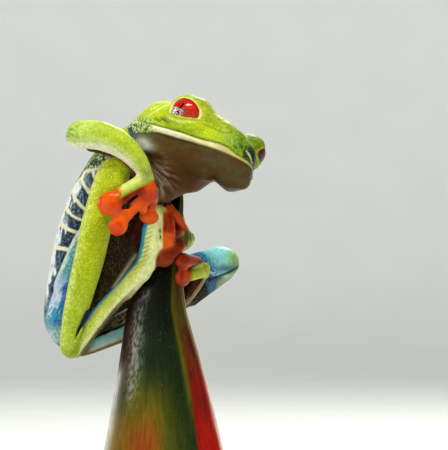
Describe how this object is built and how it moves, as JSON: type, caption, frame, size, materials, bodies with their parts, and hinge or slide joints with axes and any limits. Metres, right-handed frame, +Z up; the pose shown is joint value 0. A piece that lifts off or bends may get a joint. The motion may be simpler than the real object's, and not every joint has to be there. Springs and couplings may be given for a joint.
{
  "type": "tree frog model",
  "caption": "Life-size red-eyed tree frog model crouched on the cut pointed tip of a plant bract, held over a round display base by a rod",
  "frame": {"origin": "centre of the underside of the round display base", "axes": "+Z up through the rod and bract; -Y towards the frog's right side; +X towards where the frog looks, to the right of that side view"},
  "size_m": [0.052, 0.052, 0.0827],
  "materials": {
    "skin": "moist satin skin, lime green above, orange digits, blue inner limbs, dark blue flanks with cream bars",
    "eye": "wet clear gloss over a red iris with an upright black slit pupil",
    "bract": "waxy satin leaf, dark green and maroon with a red face and an orange glow low down",
    "stand": "satin dark grey",
    "stand_rod": "brushed"
  },
  "bodies": {
    "root": {"head": "skin", "lower_jaw": "skin", "eye_left": "eye", "eye_right": "eye", "trunk": "skin", "thigh_right": "skin", "shank_right": "skin", "tarsus_right": "skin", "foot_right": "skin", "thigh_left": "skin", "shank_left": "skin", "tarsus_left": "skin", "foot_left": "skin", "upper_arm_right": "skin", "forearm_right": "skin", "hand_right": "skin", "upper_arm_left": "skin", "forearm_left": "skin", "hand_left": "skin", "perch_bract": "bract", "stand_base": "stand", "stand_rod": "stand_rod"}
  },
  "joints": []
}
